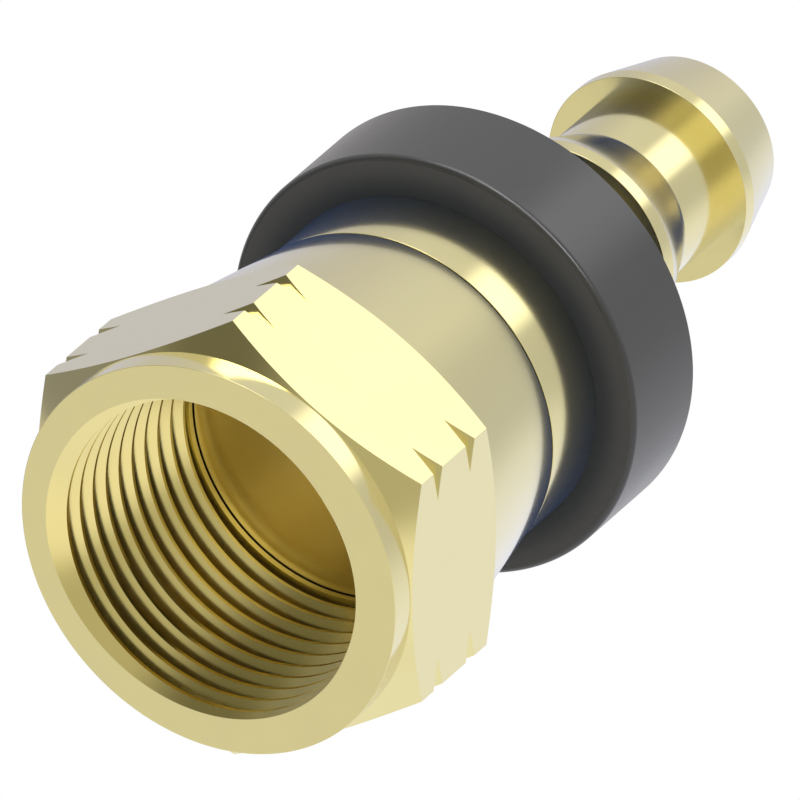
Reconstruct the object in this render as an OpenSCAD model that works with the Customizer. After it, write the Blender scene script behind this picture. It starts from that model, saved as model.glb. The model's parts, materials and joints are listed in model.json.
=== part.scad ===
// Socketless hose fitting: a swivel nut, a barbed hose tail and the stop ring for the hose end.
// The axis is +Z. It starts at the centre of the nut's front face and runs to the tip of the tail.
// A corner of the hexagon is on +X.

/* [Swivel nut] */
// Width of the hexagon across its flats
hex_af = 36; // [35.9:0.05:38]
// Diameter of the front face and of the feet of both chamfers
face_d = 35.8; // [34:0.1:35.8]
// Length of the round boss in front of the hexagon
boss_len = 2.5; // [1:0.1:4]
// Length of the hexagon over its chamfers
hex_len = 14; // [12:0.1:16]
// Angle of the chamfers to the front face
chamfer_deg = 30; // [15:1:35]
// Diameter of the skirt at its crimped end
skirt_end_d = 31.5; // [30:0.1:33]

/* [Grooves round the hexagon] */
// Distance between the two grooves
groove_pitch = 5.3; // [4:0.1:6.5]
// Depth of a groove below the corners
groove_depth = 1.3; // [0.8:0.1:1.8]
// Angle between the sides of a groove
groove_deg = 60; // [40:1:75]

/* [Thread and pocket] */
// Minor diameter of the nut's thread
thread_minor_d = 28.25; // [27.9:0.05:28.8]
// Depth of the thread from the front face
thread_len = 21.5; // [19:0.1:22.5]
// Bore of the pocket behind the thread, round the sealing head
pocket_d = 29.2; // [29:0.1:29.6]
// Bore of the crimped lip
lip_d = 25.4; // [24.6:0.1:26.2]
// Length of the crimped lip
lip_len = 2.2; // [1.5:0.1:3]

/* [Sealing head] */
// Clearance between the end of the thread and the sealing face
face_gap = 0.15; // [0.1:0.05:0.6]
// Diameter of the head's rim, just under the thread, so that a mating face can lie on it
head_d = 28.2; // [27.1:0.05:28.2]
// Length of the head's rim
head_len = 2.55; // [1.8:0.05:3.4]
// Length of the cone behind the rim, which the nut pulls on
crimp_len = 3.2; // [2.5:0.1:4]
// Clearance between the nut and the tail
swivel_gap = 0.3; // [0.2:0.02:0.4]

/* [Tail] */
// Diameter of the collar behind the nut
collar_d = 31.4; // [30:0.1:32]
// Length of the collar
collar_len = 7.1; // [5:0.1:9]
// Diameter of the spigot that carries the ring
spigot_d = 20; // [19.8:0.1:24]
// Diameter of the hose neck
neck_d = 15.25; // [14.5:0.05:16]
// Length of the hose neck from the ring to the rear barb
neck_len = 19.4; // [15:0.1:22]
// Length of the neck between the barbs
mid_neck_len = 6.85; // [4:0.05:9]
// Diameter of the flow bore
bore_d = 9; // [7:0.1:10]

/* [Barbs] */
// Diameter of the rear barb
rear_barb_d = 19.7; // [18.8:0.1:19.7]
// Length of the rear barb's taper
rear_taper_len = 5.85; // [4:0.05:8]
// Diameter of the front barb, at the tip
tip_barb_d = 19.2; // [18:0.1:19.7]
// Length of the front barb's taper
tip_taper_len = 6.6; // [5:0.1:8]
// Diameter of the tip
tip_d = 15.55; // [14.5:0.05:16.5]
// Length of the plain land on top of a barb
barb_land = 1.3; // [0.8:0.1:2]

/* [Stop ring] */
// Outer diameter of the ring
ring_d = 38.8; // [37:0.1:41]
// Length of the ring
ring_len = 9.85; // [8:0.05:12]
// Thickness of the ring's front web
web_t = 2.6; // [2:0.1:3.5]
// Thickness of the wall round the hose end
ring_wall = 2.4; // [1.6:0.1:3.5]
// Radius of the ring's front rim
rim_r = 0.5; // [0.2:0.05:1.2]
// Clearance of the ring on its spigot
ring_fit = 0.02; // [0.01:0.01:0.05]

/* [Hidden] */
$fn = 128;
// Overlap of a cutting shape past the face that it cuts
over = 1;

// Hexagon and its turned chamfers
corner_r = hex_af/2/cos(30);
turn_r = corner_r + over;
chamfer_rise = (turn_r - face_d/2)*tan(chamfer_deg);
hex_z1 = boss_len + hex_len;
hex_mid_z = boss_len + hex_len/2;

// Head of the tail and the cone of the nut, which lie swivel_gap apart
face_depth = thread_len + face_gap;
shank_r = lip_d/2 - swivel_gap;
crimp_deg = atan((head_d/2 - shank_r)/crimp_len);
head_z1 = face_depth + head_len;
cone_z = head_z1 + swivel_gap/sin(crimp_deg);
pocket_z1 = cone_z - (pocket_d - head_d)/2/tan(crimp_deg);
lip_z0 = cone_z + (head_d - lip_d)/2/tan(crimp_deg);
nut_z1 = lip_z0 + lip_len;

// Stations along the tail
collar_z0 = nut_z1 + swivel_gap;
collar_z1 = collar_z0 + collar_len;
web_z1 = collar_z1 + web_t;
rear_barb_z = web_z1 + neck_len;
rear_taper_z = rear_barb_z + barb_land;
mid_neck_z = rear_taper_z + rear_taper_len;
tip_barb_z = mid_neck_z + mid_neck_len;
tip_taper_z = tip_barb_z + barb_land;
tip_z = tip_taper_z + tip_taper_len;

// Hexagon bar of the nut
module hex_bar() {
    cylinder(r = corner_r, h = nut_z1, $fn = 6);
}

// Turned outline of the nut: boss, front chamfer, rear chamfer, tapered skirt
module nut_turning() {
    rotate_extrude()
        polygon([
            [0, 0],
            [face_d/2, 0],
            [face_d/2, boss_len],
            [turn_r, boss_len + chamfer_rise],
            [turn_r, hex_z1 - chamfer_rise],
            [face_d/2, hex_z1],
            [skirt_end_d/2, nut_z1],
            [0, nut_z1]
        ]);
}

// One V groove round the hexagon, with its root at the given height
module groove(z) {
    half_w = (groove_depth + over)*tan(groove_deg/2);
    translate([0, 0, z])
        rotate_extrude()
            polygon([
                [corner_r - groove_depth, 0],
                [corner_r + over, -half_w],
                [corner_r + over, half_w]
            ]);
}

// Thread at its minor diameter, pocket round the head, crimped cone and lip
module nut_cavity() {
    rotate_extrude()
        polygon([
            [0, -over],
            [thread_minor_d/2, -over],
            [thread_minor_d/2, thread_len],
            [pocket_d/2, thread_len],
            [pocket_d/2, pocket_z1],
            [lip_d/2, lip_z0],
            [lip_d/2, nut_z1 + over],
            [0, nut_z1 + over]
        ]);
}

module swivel_nut() {
    color("#d2c88c")
        difference() {
            intersection() {
                hex_bar();
                nut_turning();
            }
            for (side = [-1, 1])
                groove(hex_mid_z + side*groove_pitch/2);
            nut_cavity();
        }
}

// Turned in one piece: head, shank, collar, spigot, neck and two barbs round the flow bore
module hose_tail() {
    color("#cbbf80")
        rotate_extrude()
            polygon([
                [bore_d/2, face_depth],
                [head_d/2, face_depth],
                [head_d/2, head_z1],
                [shank_r, head_z1 + crimp_len],
                [shank_r, collar_z0],
                [collar_d/2, collar_z0],
                [collar_d/2, collar_z1],
                [spigot_d/2, collar_z1],
                [spigot_d/2, web_z1],
                [neck_d/2, web_z1],
                [neck_d/2, rear_barb_z],
                [rear_barb_d/2, rear_barb_z],
                [rear_barb_d/2, rear_taper_z],
                [neck_d/2, mid_neck_z],
                [neck_d/2, tip_barb_z],
                [tip_barb_d/2, tip_barb_z],
                [tip_barb_d/2, tip_taper_z],
                [tip_d/2, tip_z],
                [bore_d/2, tip_z]
            ]);
}

// Moulded cup with a rounded front rim, open towards the hose
module stop_ring() {
    color("#4a4a4a")
        rotate_extrude()
            difference() {
                union() {
                    translate([0, collar_z1])
                        square([ring_d/2 - rim_r, ring_len]);
                    translate([0, collar_z1 + rim_r])
                        square([ring_d/2, ring_len - rim_r]);
                    translate([ring_d/2 - rim_r, collar_z1 + rim_r])
                        circle(r = rim_r);
                }
                translate([0, collar_z1 - over])
                    square([spigot_d/2 + ring_fit, ring_len]);
                translate([0, web_z1])
                    square([ring_d/2 - ring_wall, ring_len]);
            }
}

swivel_nut();
hose_tail();
stop_ring();
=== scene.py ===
"""Looks of the socketless hose fitting: brass swivel nut, barbed hose tail and moulded stop ring.

Metres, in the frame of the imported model: the axis is +Z from the nut's front face to the tip of the tail,
and a corner of the hexagon is on +X.
"""
import json
import math
import bmesh
import bpy
from mathutils import Matrix, Quaternion, Vector


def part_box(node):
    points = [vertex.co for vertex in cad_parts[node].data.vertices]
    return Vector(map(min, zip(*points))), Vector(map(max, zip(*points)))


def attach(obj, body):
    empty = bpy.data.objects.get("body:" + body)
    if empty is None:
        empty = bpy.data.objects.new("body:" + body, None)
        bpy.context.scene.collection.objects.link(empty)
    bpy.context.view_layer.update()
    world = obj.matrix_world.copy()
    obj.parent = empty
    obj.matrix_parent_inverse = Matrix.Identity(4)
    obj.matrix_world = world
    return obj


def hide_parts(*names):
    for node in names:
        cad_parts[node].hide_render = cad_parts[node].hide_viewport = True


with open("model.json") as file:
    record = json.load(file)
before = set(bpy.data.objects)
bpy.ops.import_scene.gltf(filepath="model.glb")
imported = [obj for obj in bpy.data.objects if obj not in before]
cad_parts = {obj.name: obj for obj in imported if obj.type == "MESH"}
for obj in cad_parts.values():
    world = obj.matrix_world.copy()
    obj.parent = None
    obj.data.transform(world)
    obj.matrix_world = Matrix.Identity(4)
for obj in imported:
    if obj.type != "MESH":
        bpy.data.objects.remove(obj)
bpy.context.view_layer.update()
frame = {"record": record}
MM = 0.001

# Sizes that the frame gives
nut_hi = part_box("swivel_nut")[1]
tail_lo, tail_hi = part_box("hose_tail")
ring_lo, ring_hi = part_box("stop_ring")
mounts = {m["name"]: m for m in frame["record"]["mounts"]}
CORNER_R = nut_hi.x
FLAT_R = CORNER_R*math.cos(math.pi/6)
NUT_END = nut_hi.z
THREAD_R = mounts["nut_thread"]["dims"]["r_mm"]*MM
THREAD_LEN = mounts["nut_thread"]["dims"]["length_mm"]*MM
FACE_Z = tail_lo.z
COLLAR_R = tail_hi.x
TIP_Z = tail_hi.z
BORE_R = mounts["flow_bore"]["dims"]["r_mm"]*MM
REAR_BARB_R = mounts["rear_barb"]["dims"]["r_mm"]*MM
TIP_BARB_R = mounts["tip_barb"]["dims"]["r_mm"]*MM
LAND = mounts["tip_barb"]["dims"]["length_mm"]*MM
REAR_BARB_Z = mounts["rear_barb"]["pos_m"][2] - LAND/2
RING_R = ring_hi.x
RING_Z0, RING_Z1 = ring_lo.z, ring_hi.z

# Outline of the nut
FACE_R = 17.9*MM
BOSS_LEN = 2.5*MM
HEX_END = 16.5*MM
CHAMFER = math.radians(30)
SKIRT_END_R = 15.75*MM
GROOVE_PITCH = 5.3*MM
GROOVE_DEPTH = 1.3*MM
GROOVE_HALF_ANGLE = math.radians(30)

# Inside of the nut, round the head of the tail
POCKET_R = 14.6*MM
HEAD_R = 14.1*MM
LIP_R = 12.7*MM
LIP_LEN = 2.2*MM
CRIMP_LEN = 3.2*MM

# Clearance between nut and tail. Where it shows, in front of the collar, it is only a hairline
SWIVEL_GAP = 0.3*MM
SEEN_GAP = 0.12*MM
SKIRT_END_Z = NUT_END + SWIVEL_GAP - SEEN_GAP

# Right-hand thread, 60 degrees, cut to a sharp root between narrow crests
PITCH = 25.4/12*MM
CREST_FLAT = 0.34*MM
FLANK = math.radians(30)
# At this angle round the axis, a crest has this height above the nut's front face
CREST_AT = math.radians(222.9)
CREST_Z = 0.83*MM
# The tap stops here, and leaves a plain land in front of the sealing face
TAP_END = 20.95*MM
# The tap's ridge starts inside the bore, so that it cuts the whole wall, and has a little width at its root
RIDGE_SINK = 0.15*MM
ROOT_BLUNT = 0.02*MM
# Turns of the ridge past the thread's length, half of them in front of the nut, and straight parts of a turn
SPARE_TURNS = 3
SPIRAL_STEPS = 180

# Outline of the tail
HEAD_LEN = 2.55*MM
NECK_R = 7.625*MM
SPIGOT_R = 10*MM
WEB = 2.6*MM
TIP_R = 7.775*MM
TIP_TAPER = 6.6*MM
REAR_TAPER = 5.85*MM

# Outline of the ring
RING_BORE_R = 10.02*MM
CUP_R = 17*MM
RIM_R = 0.5*MM

# Broken edges of the turned pieces, as a deburring stone leaves them
EDGE_R = 0.05*MM
HEAD_EDGE_R = 0.1*MM
SKIRT_EDGE_R = 0.25*MM

# Steps round the axis and over a rounded corner, and how far a cutting shape reaches past what it cuts
TURN_STEPS = 288
ARC_STEPS = 10
OVER = 1*MM

# Points closer than this are one vertex
SAME_POINT = 1e-8
# How far the cosine between a face and a flat of the hexagon may be from 1
LEVEL = 1e-5
# Below this, a height or a distance counts as nought
TINY = 1e-6


# Meshes

def link(name, data):
    """Makes an object of a mesh, a lamp or a camera, and puts it in the scene."""
    made = bpy.data.objects.new(name, data)
    bpy.context.scene.collection.objects.link(made)
    return made


def solid(name, bm):
    """Turns the faces outwards and makes an object of them."""
    bmesh.ops.recalc_face_normals(bm, faces=bm.faces)
    mesh = bpy.data.meshes.new(name)
    bm.to_mesh(mesh)
    bm.free()
    return link(name, mesh)


def rounded(points):
    """Turns (r, z) or (r, z, radius) corners into an outline. A corner with a radius becomes a true arc."""
    outline = []
    for i, (r, z, *radius) in enumerate(points):
        corner = Vector((r, z))
        if not radius:
            outline.append(corner)
            continue
        before = (Vector(points[i - 1][:2]) - corner).normalized()
        after = (Vector(points[(i + 1) % len(points)][:2]) - corner).normalized()
        half = before.angle(after)/2
        centre = corner + (before + after).normalized()*radius[0]/math.sin(half)
        start = corner + before*radius[0]/math.tan(half) - centre
        turn = start.angle_signed(corner + after*radius[0]/math.tan(half) - centre)
        for step in range(ARC_STEPS + 1):
            outline.append(centre + Matrix.Rotation(-turn*step/ARC_STEPS, 2) @ start)
    return outline


def turned(name, points):
    """Solid of revolution round Z from a closed outline. Points on the axis become one vertex each."""
    outline = rounded(points)
    bm = bmesh.new()
    columns = []
    for step in range(TURN_STEPS):
        angle = math.tau*step/TURN_STEPS
        columns.append([bm.verts.new((p.x*math.cos(angle), p.x*math.sin(angle), p.y)) for p in outline])
    for here, there in zip(columns, columns[1:] + columns[:1]):
        for i in range(len(outline)):
            j = (i + 1) % len(outline)
            if outline[i].x > 0 or outline[j].x > 0:
                bm.faces.new((here[i], there[i], there[j], here[j]))
    bmesh.ops.remove_doubles(bm, verts=bm.verts, dist=SAME_POINT)
    return solid(name, bm)


def hexagon_bar():
    """Six-sided bar with a corner on +X, over the whole length of the nut."""
    bm = bmesh.new()
    corners = [(CORNER_R*math.cos(k*math.pi/3), CORNER_R*math.sin(k*math.pi/3)) for k in range(6)]
    lower = [bm.verts.new((x, y, 0)) for x, y in corners]
    upper = [bm.verts.new((x, y, SKIRT_END_Z)) for x, y in corners]
    bm.faces.new(lower)
    bm.faces.new(upper)
    for k in range(6):
        bm.faces.new((lower[k], lower[(k + 1) % 6], upper[(k + 1) % 6], upper[k]))
    return solid("bar", bm)


def plain_mesh(piece):
    """Takes what the modifiers of a piece give as its own mesh, and drops the modifiers."""
    depsgraph = bpy.context.evaluated_depsgraph_get()
    result = bpy.data.meshes.new_from_object(piece.evaluated_get(depsgraph))
    piece.modifiers.clear()
    piece.data = result


def cut(piece, tool, operation="DIFFERENCE"):
    """Cuts a piece with a tool, and removes the tool."""
    boolean = piece.modifiers.new("cut", "BOOLEAN")
    boolean.operation = operation
    boolean.solver = "MANIFOLD"
    boolean.object = tool
    plain_mesh(piece)
    bpy.data.objects.remove(tool)


def finish_with(piece, *finishes):
    piece.data.materials.clear()
    for finish in finishes:
        piece.data.materials.append(finish)


def turned_shading(mesh, hexagon_slot=None):
    """Gives each corner of a face the normal of the true turned surface there. Flats keep their own."""
    mesh.polygons.foreach_set("use_smooth", [True]*len(mesh.polygons))
    normals = [None]*len(mesh.loops)
    for face in mesh.polygons:
        flat = face.material_index == hexagon_slot
        here = math.atan2(face.center.y, face.center.x)
        for loop in face.loop_indices:
            point = mesh.vertices[mesh.loops[loop].vertex_index].co
            turn = 0 if flat else math.atan2(point.y, point.x) - here
            normals[loop] = Matrix.Rotation(turn, 3, "Z") @ face.normal
    mesh.normals_split_custom_set(normals)


# Thread, as a Geometry Nodes tree

def add(tree, kind, settings=None, inputs=None):
    """Adds a node with its settings and its inputs, by name or index. An input is a value or a socket."""
    made = tree.nodes.new(kind)
    for key, value in (settings or {}).items():
        setattr(made, key, value)
    for key, value in (inputs or {}).items():
        if isinstance(value, bpy.types.NodeSocket):
            tree.links.new(value, made.inputs[key])
        else:
            made.inputs[key].default_value = value
    return made


def thread_tree():
    """A helical ridge: a V-shaped section swept along a spiral. It stands for what the tap cuts away."""
    tree = bpy.data.node_groups.new("tapped thread", "GeometryNodeTree")
    tree.interface.new_socket("Geometry", in_out="OUTPUT", socket_type="NodeSocketGeometry")
    for name in ("Pitch", "Turns", "Inner Radius", "Root Radius", "Base Width", "Root Width",
                 "Start Angle", "Start Height"):
        tree.interface.new_socket(name, in_out="INPUT", socket_type="NodeSocketFloat")
    tree.interface.new_socket("Material", in_out="INPUT", socket_type="NodeSocketMaterial")
    sizes = add(tree, "NodeGroupInput").outputs
    radii = add(tree, "ShaderNodeMath", {"operation": "ADD"},
                {0: sizes["Inner Radius"], 1: sizes["Root Radius"]})
    middle_r = add(tree, "ShaderNodeMath", {"operation": "MULTIPLY"},
                   {0: radii.outputs[0], 1: 0.5}).outputs[0]
    depth = add(tree, "ShaderNodeMath", {"operation": "SUBTRACT"},
                {0: sizes["Root Radius"], 1: sizes["Inner Radius"]})
    height = add(tree, "ShaderNodeMath", {"operation": "MULTIPLY"},
                 {0: sizes["Pitch"], 1: sizes["Turns"]})
    spiral = add(tree, "GeometryNodeCurveSpiral", inputs={
        "Resolution": SPIRAL_STEPS, "Rotations": sizes["Turns"], "Start Radius": middle_r,
        "End Radius": middle_r, "Height": height.outputs[0], "Reverse": True})
    upright = add(tree, "GeometryNodeSetCurveNormal", {"mode": "Z_UP"}, {"Curve": spiral.outputs[0]})
    section = add(tree, "GeometryNodeCurvePrimitiveQuadrilateral", {"mode": "TRAPEZOID"}, {
        "Height": depth.outputs[0], "Bottom Width": sizes["Root Width"], "Top Width": sizes["Base Width"],
        "Offset": 0.0})
    laid = add(tree, "GeometryNodeTransform", inputs={
        "Geometry": section.outputs[0], "Rotation": (0, 0, math.pi/2)})
    ridge = add(tree, "GeometryNodeCurveToMesh", inputs={
        "Curve": upright.outputs[0], "Profile Curve": laid.outputs[0], "Fill Caps": True})
    turn = add(tree, "ShaderNodeCombineXYZ", inputs={"Z": sizes["Start Angle"]})
    lift = add(tree, "ShaderNodeCombineXYZ", inputs={"Z": sizes["Start Height"]})
    placed = add(tree, "GeometryNodeTransform", inputs={
        "Geometry": ridge.outputs[0], "Translation": lift.outputs[0], "Rotation": turn.outputs[0]})
    real = add(tree, "GeometryNodeRealizeInstances", inputs={"Geometry": placed.outputs[0]})
    coated = add(tree, "GeometryNodeSetMaterial", inputs={
        "Geometry": real.outputs[0], "Material": sizes["Material"]})
    add(tree, "NodeGroupOutput", inputs={0: coated.outputs[0]})
    return tree


def thread_tool(material):
    """The ridge of the tap, from in front of the nut to where the tap stops."""
    base_w = PITCH - CREST_FLAT
    inner_r = THREAD_R - RIDGE_SINK
    root_r = THREAD_R + base_w/2/math.tan(FLANK) - ROOT_BLUNT
    widths = [base_w - 2*(r - THREAD_R)*math.tan(FLANK) for r in (inner_r, root_r)]
    values = {
        "Pitch": PITCH,
        "Turns": math.ceil(THREAD_LEN/PITCH) + SPARE_TURNS,
        "Inner Radius": inner_r,
        "Root Radius": root_r,
        "Base Width": widths[0],
        "Root Width": widths[1],
        "Start Angle": CREST_AT,
        "Start Height": CREST_Z - SPARE_TURNS/2*PITCH,
        "Material": material}
    tool = link("thread_tool", bpy.data.meshes.new("thread_tool"))
    sweep = tool.modifiers.new("thread", "NODES")
    sweep.node_group = thread_tree()
    for item in sweep.node_group.interface.items_tree:
        if item.in_out == "INPUT":
            sweep[item.identifier] = values[item.name]
    plain_mesh(tool)
    front = -(SPARE_TURNS + 1)*PITCH
    cut(tool, turned("thread_end", [
        (0, front),
        (root_r + OVER, front),
        (root_r + OVER, TAP_END),
        (0, TAP_END)]), "INTERSECT")
    return tool


# Pieces

def swivel_nut(turned_finish, drawn_finish, inside_finish):
    chamfer_r = CORNER_R + OVER
    chamfer_rise = (chamfer_r - FACE_R)*math.tan(CHAMFER)
    nut = turned("nut_with_thread", [
        (0, 0),
        (FACE_R, 0, EDGE_R),
        (FACE_R, BOSS_LEN),
        (chamfer_r, BOSS_LEN + chamfer_rise),
        (chamfer_r, HEX_END - chamfer_rise),
        (FACE_R, HEX_END),
        (SKIRT_END_R, SKIRT_END_Z, SKIRT_EDGE_R),
        (0, SKIRT_END_Z)])
    cut(nut, hexagon_bar(), "INTERSECT")
    half_w = (GROOVE_DEPTH + OVER)*math.tan(GROOVE_HALF_ANGLE)
    for side in (-1, 1):
        z = (BOSS_LEN + HEX_END)/2 + side*GROOVE_PITCH/2
        cut(nut, turned("groove_tool", [
            (CORNER_R - GROOVE_DEPTH, z),
            (CORNER_R + OVER, z - half_w),
            (CORNER_R + OVER, z + half_w)]))
    cone_slope = (HEAD_R - LIP_R + SWIVEL_GAP)/CRIMP_LEN
    cut(nut, turned("cavity_tool", [
        (0, -OVER),
        (THREAD_R, -OVER),
        (THREAD_R, THREAD_LEN),
        (POCKET_R, THREAD_LEN),
        (POCKET_R, NUT_END - LIP_LEN - (POCKET_R - LIP_R)/cone_slope),
        (LIP_R, NUT_END - LIP_LEN),
        (LIP_R, NUT_END + OVER),
        (0, NUT_END + OVER)]))
    cut(nut, thread_tool(inside_finish))
    finish_with(nut, turned_finish, drawn_finish, inside_finish)
    turned_slot, drawn_slot, inside_slot = range(3)
    # The flats of the hexagon stay as drawn. Other faces that look towards the axis are inside the nut
    for face in nut.data.polygons:
        sixth = round((math.atan2(face.normal.y, face.normal.x) - math.pi/6)/(math.pi/3))
        flat_normal = Matrix.Rotation(math.pi/6 + sixth*math.pi/3, 3, "Z") @ Vector((1, 0, 0))
        level = abs(face.normal.dot(flat_normal) - 1) < LEVEL
        on_flat = level and abs(face.center.dot(flat_normal) - FLAT_R) < EDGE_R
        towards_axis = face.normal.xy.dot(face.center.xy) < -TINY
        face.material_index = drawn_slot if on_flat else inside_slot if towards_axis else turned_slot
    turned_shading(nut.data, drawn_slot)
    return nut


def hose_tail(turned_finish, inside_finish):
    shank_r = LIP_R - SWIVEL_GAP
    collar_z = NUT_END + SWIVEL_GAP
    rear_taper_z = REAR_BARB_Z + LAND
    tip_taper_z = TIP_Z - TIP_TAPER
    tail = turned("tail_with_barbs", [
        (BORE_R, FACE_Z, EDGE_R),
        (HEAD_R, FACE_Z, HEAD_EDGE_R),
        (HEAD_R, FACE_Z + HEAD_LEN),
        (shank_r, FACE_Z + HEAD_LEN + CRIMP_LEN),
        (shank_r, collar_z),
        (COLLAR_R, collar_z, EDGE_R),
        (COLLAR_R, RING_Z0, EDGE_R),
        (SPIGOT_R, RING_Z0),
        (SPIGOT_R, RING_Z0 + WEB),
        (NECK_R, RING_Z0 + WEB),
        (NECK_R, REAR_BARB_Z),
        (REAR_BARB_R, REAR_BARB_Z, EDGE_R),
        (REAR_BARB_R, rear_taper_z),
        (NECK_R, rear_taper_z + REAR_TAPER),
        (NECK_R, tip_taper_z - LAND),
        (TIP_BARB_R, tip_taper_z - LAND, EDGE_R),
        (TIP_BARB_R, tip_taper_z),
        (TIP_R, TIP_Z, EDGE_R),
        (BORE_R, TIP_Z, EDGE_R)])
    finish_with(tail, turned_finish, inside_finish)
    # The sealing face and the head's rim are inside the nut
    for face in tail.data.polygons:
        face.material_index = int(face.center.z < FACE_Z + HEAD_LEN)
    turned_shading(tail.data)
    return tail


def stop_ring(rubbed_finish, dull_shaded_finish):
    ring = turned("ring_cup", [
        (RING_BORE_R, RING_Z0),
        (RING_R, RING_Z0, RIM_R),
        (RING_R, RING_Z1, EDGE_R),
        (CUP_R, RING_Z1, EDGE_R),
        (CUP_R, RING_Z0 + WEB),
        (RING_BORE_R, RING_Z0 + WEB)])
    finish_with(ring, rubbed_finish, dull_shaded_finish)
    # The cup and the face round the collar take the dull nylon, with painted shade that darkens towards the
    # collar
    for face in ring.data.polygons:
        in_cup = face.center.xy.length < CUP_R + EDGE_R
        face.material_index = int(in_cup or face.center.z < RING_Z0 + TINY)
    turned_shading(ring.data)
    return ring


# Materials

# Most values of a noise texture lie between these two
NOISE_LOW = 0.3
NOISE_HIGH = 0.7


def linear(hex_colour):
    """sRGB hex to the linear colour that Blender's sockets take."""
    channels = [int(hex_colour[i:i + 2], 16)/255 for i in (1, 3, 5)]
    return [c/12.92 if c <= 0.04045 else ((c + 0.055)/1.055)**2.4 for c in channels] + [1.0]


def new_material(name):
    material = bpy.data.materials.new(name)
    material.use_nodes = True
    material.node_tree.nodes.clear()
    return material, material.node_tree


def distance_from_axis(tree, place):
    across = add(tree, "ShaderNodeVectorMath", {"operation": "MULTIPLY"}, {0: place, 1: (1, 1, 0)})
    length = add(tree, "ShaderNodeVectorMath", {"operation": "LENGTH"}, {0: across.outputs[0]})
    return length.outputs["Value"]


def brass(name, tones, roughness, film, along_bar=False):
    """Free-machining brass. Turned faces carry the feed marks of the tool as rings round the axis, which
    streak a reflection across them. The flats of the drawn bar have the die's lines along the axis instead.
    Outside, a clear film with a faint bluish haze cools the dark reflections. Bare brass keeps them warm."""
    # A feed of 0.08 mm a turn is too fine for the picture, so the marks are drawn about 0.25 mm apart.
    # The die's lines are some 80 times as long as they are wide. Handling and oil leave patches of 6 mm
    mark_pitch, mark_depth = 0.25*MM, 0.0004*MM
    line_squeeze = 0.012
    patch = 6*MM
    material, tree = new_material(name)
    place = add(tree, "ShaderNodeTexCoord").outputs["Object"]
    if along_bar:
        marks_at = add(tree, "ShaderNodeVectorMath", {"operation": "MULTIPLY"},
                       {0: place, 1: (1, 1, line_squeeze)})
    else:
        along = add(tree, "ShaderNodeSeparateXYZ", inputs={0: place}).outputs["Z"]
        marks_at = add(tree, "ShaderNodeCombineXYZ",
                       inputs={"X": distance_from_axis(tree, place), "Z": along})
    marks = add(tree, "ShaderNodeTexNoise", {"noise_dimensions": "3D"},
                {"Vector": marks_at.outputs[0], "Scale": 1/mark_pitch, "Detail": 2.0, "Roughness": 0.6})
    patches = add(tree, "ShaderNodeTexNoise", inputs={"Vector": place, "Scale": 1/patch, "Detail": 3.0})
    tone = add(tree, "ShaderNodeMix", {"data_type": "RGBA"},
               {"Factor": patches.outputs["Fac"], 6: linear(tones[0]), 7: linear(tones[1])})
    gloss = add(tree, "ShaderNodeMapRange",
                inputs={"Value": patches.outputs["Fac"], "From Min": NOISE_LOW, "From Max": NOISE_HIGH,
                        "To Min": roughness[0], "To Max": roughness[1]})
    relief = add(tree, "ShaderNodeBump",
                 inputs={"Height": marks.outputs["Fac"], "Strength": 1.0, "Distance": mark_depth})
    shader = add(tree, "ShaderNodeBsdfPrincipled", inputs={
        "Base Color": tone.outputs[2], "Metallic": 1.0, "Roughness": gloss.outputs[0],
        "Normal": relief.outputs[0],
        "Coat Weight": film, "Coat Roughness": 0.06, "Coat IOR": 1.45,
        "Sheen Weight": 0.1*film, "Sheen Roughness": 0.7, "Sheen Tint": linear("#2789FF")})
    add(tree, "ShaderNodeOutputMaterial", inputs={"Surface": shader.outputs[0]})
    return material


def moulded_nylon(name, inner_tone, outer_tone, specular):
    """Black glass-filled nylon from a fine-eroded mould. Handling has rubbed the outside grey, with a soft
    broad sheen. The face round the collar and the cup are dull, and their tone darkens towards the collar
    as painted shade."""
    # The mould's grain is about 0.12 mm, and the melt's flow clouds the tone over some 9 mm. On the ring's
    # face, painted shade darkens the tone from the rim to the collar
    grain_size, grain_depth = 0.12*MM, 0.0006*MM
    cloud = 9*MM
    fade_from, fade_to = 15.9*MM, 18.7*MM
    roughness = (0.24, 0.28)
    material, tree = new_material(name)
    place = add(tree, "ShaderNodeTexCoord").outputs["Object"]
    # Painted shade: the tone goes from inner_tone near the collar to outer_tone towards the rim
    painted_shade_fade = add(tree, "ShaderNodeMapRange", {"interpolation_type": "SMOOTHSTEP"},
                 {"Value": distance_from_axis(tree, place), "From Min": fade_from, "From Max": fade_to})
    tone = add(tree, "ShaderNodeMix", {"data_type": "RGBA"},
               {"Factor": painted_shade_fade.outputs[0], 6: linear(inner_tone), 7: linear(outer_tone)})
    grain = add(tree, "ShaderNodeTexNoise", inputs={"Vector": place, "Scale": 1/grain_size, "Detail": 2.0})
    flow = add(tree, "ShaderNodeTexNoise", inputs={"Vector": place, "Scale": 1/cloud, "Detail": 2.0})
    clouded = add(tree, "ShaderNodeMix", {"data_type": "RGBA", "blend_type": "MULTIPLY"},
                  {"Factor": 0.1, 6: tone.outputs[2], 7: flow.outputs["Fac"]})
    gloss = add(tree, "ShaderNodeMapRange",
                inputs={"Value": flow.outputs["Fac"], "From Min": NOISE_LOW, "From Max": NOISE_HIGH,
                        "To Min": roughness[0], "To Max": roughness[1]})
    relief = add(tree, "ShaderNodeBump",
                 inputs={"Height": grain.outputs["Fac"], "Strength": 1.0, "Distance": grain_depth})
    shader = add(tree, "ShaderNodeBsdfPrincipled", inputs={
        "Base Color": clouded.outputs[2], "Roughness": gloss.outputs[0],
        "Specular IOR Level": specular, "Normal": relief.outputs[0]})
    add(tree, "ShaderNodeOutputMaterial", inputs={"Surface": shader.outputs[0]})
    return material


# Studio

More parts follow.
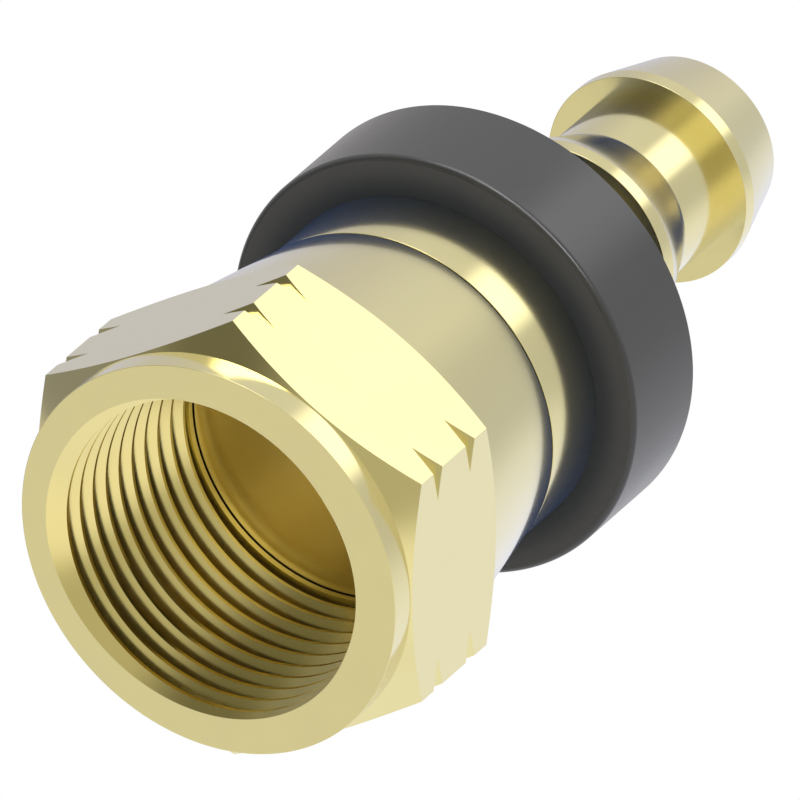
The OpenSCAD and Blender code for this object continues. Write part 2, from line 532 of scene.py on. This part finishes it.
# Softboxes and cards round the fitting: azimuth and height in degrees, half widths inside and outside the
# soft edge, and the light that they send as linear red, green and blue, where 1 is the background's white
STUDIO = {
    "grey wall on the left": (-100, 50, 12, 50, (0.644, 0.62, 0.62)),
    "grey wall on the right": (85, 62, 8, 28, (0.64, 0.64, 0.66)),
    "grey card below": (60, -70, 20, 42, (0.53, 0.505, 0.40)),
    "grey card beside the mouth": (-103, -34, 22, 28, (0.29, 0.285, 0.30)),
    "dark card beside the mouth": (-48, -50, 8, 32, (0.16, 0.15, 0.10)),
    "bright card low in front": (41, -48, 8, 20, (1.05, 1.03, 1.0)),
    "bright card low behind": (134, -48, 8, 25, (1.03, 1.0, 0.95)),
    "fill": (165, 10, 38, 68, (0.97, 0.975, 1.04)),
    "small window": (-12, 8, 13, 20, (4.5, 4.5, 4.5)),
    "key": (36, 46, 7, 18.5, (1.8, 1.8, 1.85)),
}
# What metal shows between them, above and below the horizon, and how far the change reaches to either side
ABOVE = (0.797, 0.79, 0.815)
BELOW = (0.80, 0.785, 0.76)
HORIZON_BLUR = 0.3
# Even light on dull surfaces, and the white behind everything
ROOM = (0.8, 0.8, 0.8)
WHITE = (1, 1, 1)
LAMP_DISTANCE = 0.6


def direction(azimuth, height):
    a, h = math.radians(azimuth), math.radians(height)
    return Vector((math.cos(h)*math.cos(a), math.cos(h)*math.sin(a), math.sin(h)))


def studio_world():
    """White background. Metal shows the softboxes and cards that stand in front of it."""
    world = bpy.data.worlds.new("studio")
    bpy.context.scene.world = world
    world.use_nodes = True
    tree = world.node_tree
    tree.nodes.clear()
    ray = add(tree, "ShaderNodeTexCoord").outputs["Generated"]
    height = add(tree, "ShaderNodeSeparateXYZ", inputs={0: ray}).outputs["Z"]
    rise = add(tree, "ShaderNodeMapRange", {"interpolation_type": "SMOOTHSTEP"},
               {"Value": height, "From Min": -HORIZON_BLUR, "From Max": HORIZON_BLUR})
    light = add(tree, "ShaderNodeMix", {"data_type": "RGBA"},
                {"Factor": rise.outputs[0], 6: (*BELOW, 1), 7: (*ABOVE, 1)}).outputs[2]
    for azimuth, up, inside, outside, colour in STUDIO.values():
        facing = add(tree, "ShaderNodeVectorMath", {"operation": "DOT_PRODUCT"},
                     {0: ray, 1: direction(azimuth, up)}).outputs["Value"]
        near = add(tree, "ShaderNodeMapRange", {"interpolation_type": "SMOOTHSTEP"},
                   {"Value": facing, "From Min": math.cos(math.radians(outside)),
                    "From Max": math.cos(math.radians(inside))})
        light = add(tree, "ShaderNodeMix", {"data_type": "RGBA"},
                    {"Factor": near.outputs[0], 6: light, 7: (*colour, 1)}).outputs[2]
    path = add(tree, "ShaderNodeLightPath").outputs
    background = add(tree, "ShaderNodeMix", {"data_type": "RGBA"},
                     {"Factor": path["Is Glossy Ray"], 6: (*WHITE, 1), 7: light}).outputs[2]
    shown = add(tree, "ShaderNodeMath", {"operation": "MAXIMUM"},
                {0: path["Is Camera Ray"], 1: path["Is Glossy Ray"]}).outputs[0]
    shown = add(tree, "ShaderNodeMath", {"operation": "MAXIMUM"},
                {0: shown, 1: path["Is Transmission Ray"]}).outputs[0]
    colour = add(tree, "ShaderNodeMix", {"data_type": "RGBA"},
                 {"Factor": shown, 6: (*ROOM, 1), 7: background}).outputs[2]
    lit = add(tree, "ShaderNodeBackground", inputs={"Color": colour, "Strength": 1.0})
    add(tree, "ShaderNodeOutputWorld", inputs={"Surface": lit.outputs[0]})


def studio_lamp(name, azimuth, up, roll, width, height, energy):
    """Soft lamp that is turned towards the fitting. The angles are in degrees."""
    lamp = bpy.data.lights.new(name, "AREA")
    lamp.shape = "ELLIPSE"
    lamp.size = width
    lamp.size_y = height
    lamp.energy = energy
    holder = link(name, lamp)
    towards = direction(azimuth, up)
    holder.location = towards*LAMP_DISTANCE
    turn = towards.to_track_quat("Z", "Y") @ Quaternion((0, 0, 1), math.radians(roll))
    holder.rotation_euler = turn.to_euler()
    return holder


def lamps(ring):
    """The key is there for the shadow and the plastic, because metal already shows it in the world. The low
    strip draws the thin line along the ring's rim, and lights the ring only."""
    key = studio_lamp("key", azimuth=20, up=46, roll=0, width=0.25, height=0.25, energy=3.0)
    key.visible_glossy = False
    strip = studio_lamp("rim strip", azimuth=23, up=-19, roll=-27, width=0.75, height=0.1, energy=2.8)
    strip.visible_diffuse = False
    ring_only = bpy.data.collections.new("ring only")
    ring_only.objects.link(ring)
    strip.light_linking.receiver_collection = ring_only


def pale_floor():
    """Floor just under the nut's face. It shows from above only, so that the view from below sees the mouth,
    and it fades into the white background. It takes the fitting's shadow and lets light from below through."""
    half, drop = 0.6, 0.02*MM
    fade_from, fade_to = 0.12, 0.5
    material, tree = new_material("pale floor")
    place = add(tree, "ShaderNodeTexCoord").outputs["Object"]
    reach = add(tree, "ShaderNodeVectorMath", {"operation": "LENGTH"}, {0: place}).outputs["Value"]
    near = add(tree, "ShaderNodeMapRange", {"interpolation_type": "SMOOTHSTEP"}, {
        "Value": reach, "From Min": fade_from, "From Max": fade_to, "To Min": 1.0, "To Max": 0.0})
    below = add(tree, "ShaderNodeNewGeometry").outputs["Backfacing"]
    above = add(tree, "ShaderNodeMath", {"operation": "SUBTRACT"}, {0: 1.0, 1: below})
    seen = add(tree, "ShaderNodeLightPath").outputs["Is Camera Ray"]
    seen_above = add(tree, "ShaderNodeMath", {"operation": "MULTIPLY"}, {0: above.outputs[0], 1: seen})
    shows = add(tree, "ShaderNodeMath", {"operation": "MULTIPLY"},
                {0: seen_above.outputs[0], 1: near.outputs[0]})
    paint = add(tree, "ShaderNodeBsdfDiffuse", inputs={"Color": linear("#FAFAFA")})
    clear = add(tree, "ShaderNodeBsdfTransparent")
    mixed = add(tree, "ShaderNodeMixShader",
                inputs={0: shows.outputs[0], 1: clear.outputs[0], 2: paint.outputs[0]})
    add(tree, "ShaderNodeOutputMaterial", inputs={"Surface": mixed.outputs[0]})
    mesh = bpy.data.meshes.new("floor")
    corners = [(-half, -half, 0), (half, -half, 0), (half, half, 0), (-half, half, 0)]
    mesh.from_pydata(corners, [], [(0, 1, 2, 3)])
    mesh.materials.append(material)
    floor = link("floor", mesh)
    floor.location.z = -drop


def photo_camera():
    """The photo is a parallel view of the fitting on its side, with +X upwards. A very long lens far away
    comes within 2 pixels of it, and still fits the whole fitting from other sides."""
    beside, over, roll = math.radians(30.14), math.radians(30.11), math.radians(-0.07)
    frame_width, aim_right, aim_up = 66.14*MM, 15.885*MM, 13.225*MM
    lens, sensor, clip_end = 1718.8, 36, 10
    back = Vector((math.sin(over), math.cos(over)*math.sin(beside), -math.cos(over)*math.cos(beside)))
    up = (Vector((1, 0, 0)) - back*back.x).normalized()
    right = up.cross(back)
    aim = right*aim_right + up*aim_up
    level_up = up*math.cos(roll) - right*math.sin(roll)
    level_right = level_up.cross(back)
    lens_data = bpy.data.cameras.new("camera")
    lens_data.lens = lens
    lens_data.sensor_width = sensor
    lens_data.clip_end = clip_end
    camera = link("camera", lens_data)
    turn = Matrix((level_right, level_up, back)).transposed()
    camera.matrix_world = Matrix.Translation(aim + back*frame_width*lens/sensor) @ turn.to_4x4()
    bpy.context.scene.camera = camera


# Scene

# The nut is bare inside, and the sealing face is faced finely and a little duller. The sealing face's brass is
# also a lighter tone, which is painted light on the face deep in the nut
turned_brass = brass("turned brass", ("#ECE09C", "#E9DD9A"), (0.13, 0.17), film=1.0)
drawn_brass = brass("drawn brass bar", ("#ECE09C", "#E9DD9A"), (0.13, 0.17), film=1.0, along_bar=True)
bare_brass = brass("bare turned brass", ("#EDDF9A", "#EADC98"), (0.15, 0.19), film=0.0)
faced_brass_painted_light = brass("finely faced brass, painted light", ("#F6E4A0", "#F3E19E"), (0.31, 0.35), film=0.0)
rubbed_nylon = moulded_nylon("rubbed black nylon", "#3E3E3E", "#3E3E3E", specular=0.5)
# The dull nylon is darker and bluer at the collar than at the rim: painted shade
dull_nylon_painted_shade = moulded_nylon("dull black nylon with painted shade", "#3B3E43", "#545456", specular=0.06)

nut = swivel_nut(turned_brass, drawn_brass, bare_brass)
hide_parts("swivel_nut")
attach(nut, "nut")

tail = hose_tail(turned_brass, faced_brass_painted_light)
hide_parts("hose_tail")
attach(tail, "tail")

ring = stop_ring(rubbed_nylon, dull_nylon_painted_shade)
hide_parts("stop_ring")
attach(ring, "tail")

studio_world()
lamps(ring)
pale_floor()
photo_camera()
bpy.context.scene.view_settings.view_transform = "Standard"
